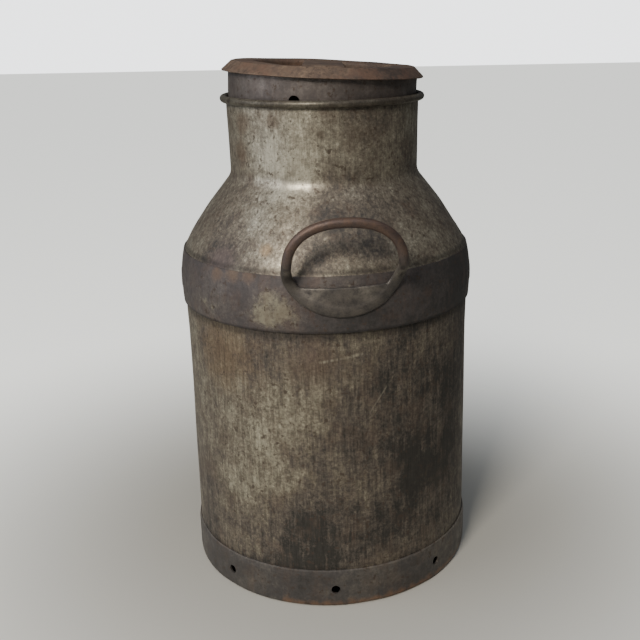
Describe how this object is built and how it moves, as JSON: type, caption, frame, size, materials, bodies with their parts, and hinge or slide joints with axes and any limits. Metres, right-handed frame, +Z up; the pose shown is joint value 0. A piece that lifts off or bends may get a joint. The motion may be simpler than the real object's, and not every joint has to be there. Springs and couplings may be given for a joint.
{
  "type": "milk can",
  "caption": "Upright steel milk can with a breast hoop, two forged loop handles, a wired rim and a recessed lift-off lid.",
  "frame": {"origin": "centre of the foot on the floor, on the can's axis", "axes": "+Z up along the can's axis, -Y towards the front handle, +Y towards the rear handle"},
  "size_m": [0.338, 0.3878, 0.59],
  "materials": {
    "tinned_sheet": "aged hot-dipped tin on sheet steel, mottled brown and grey with worn bright patches",
    "hoop_steel": "dark oxidised sheet steel with light rust at its edges",
    "forged_iron": "forged bar with a smooth red-brown rust skin",
    "lid_sheet": "brown rusted sheet steel",
    "collar_sheet": "dark grey oxidised sheet steel",
    "rivet_steel": "dull tinned steel"
  },
  "bodies": {
    "can": {"bottom_pan": "tinned_sheet", "body_shell": "tinned_sheet", "foot_hoop": "hoop_steel", "breast_neck": "tinned_sheet", "rim_wire": "hoop_steel", "breast_hoop": "hoop_steel", "handle_front": "forged_iron", "handle_rear": "forged_iron", "handle_rivet_front_1": "rivet_steel", "handle_rivet_front_2": "rivet_steel", "handle_rivet_front_3": "rivet_steel", "handle_rivet_front_4": "rivet_steel", "handle_rivet_rear_1": "rivet_steel", "handle_rivet_rear_2": "rivet_steel", "handle_rivet_rear_3": "rivet_steel", "handle_rivet_rear_4": "rivet_steel"},
    "lid": {"lid_top": "lid_sheet", "lid_collar": "collar_sheet", "lid_strap": "lid_sheet", "strap_rivet_1": "rivet_steel", "strap_rivet_2": "rivet_steel", "strap_rivet_3": "rivet_steel", "strap_rivet_4": "rivet_steel"}
  },
  "joints": [
    {"name": "lid_lift", "type": "slide", "parent": "can", "child": "lid", "axis": [0, 0, 1], "range_m": [0, 0.12]}
  ]
}
